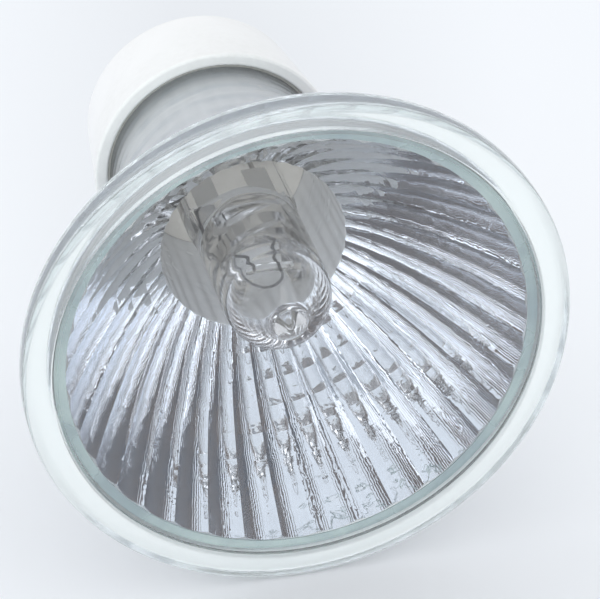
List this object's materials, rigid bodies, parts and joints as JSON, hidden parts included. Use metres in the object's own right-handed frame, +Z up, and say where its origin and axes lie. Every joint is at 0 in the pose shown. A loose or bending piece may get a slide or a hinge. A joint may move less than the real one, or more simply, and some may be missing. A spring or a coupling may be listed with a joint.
{
  "type": "gu10 spotlight bulb",
  "caption": "Halogen spotlight bulb: fluted mirror bowl with a clear glass rim and front glass, quartz capsule inside, white ceramic base with headed contact pins for a twist holder.",
  "frame": {"origin": "centre of the ceramic base's seat face, where the contact pins leave it", "axes": "+Y out of the seat along the pins, so the beam points along -Y; +X along the line of the pins; +Z up"},
  "size_m": [0.05, 0.055, 0.05],
  "materials": {
    "mirror_glass": "pressed glass, silvered inside, clear at the rim",
    "front_glass": "clear polished glass",
    "sealant": "clear silicone",
    "quartz": "clear fused quartz",
    "tungsten": "dull drawn wire, coiled",
    "lead_wire": "dull drawn wire",
    "foil": "rolled foil",
    "tail_wire": "drawn wire",
    "cement": "matt beige cement",
    "white_ceramic": "fine matt white",
    "pin_metal": "nickel plate",
    "solder": "dull solder"
  },
  "bodies": {
    "root": {"reflector": "mirror_glass", "cover_glass": "front_glass", "cover_seal": "sealant", "capsule": "quartz", "bridge": "quartz", "filament": "tungsten", "lead_left": "lead_wire", "lead_right": "lead_wire", "foil_left": "foil", "foil_right": "foil", "outer_lead_left": "tail_wire", "outer_lead_right": "tail_wire", "capsule_cement": "cement", "base_cement": "cement", "ceramic_base": "white_ceramic", "pin_left": "pin_metal", "pin_right": "pin_metal", "solder_left": "solder", "solder_right": "solder"}
  },
  "joints": []
}
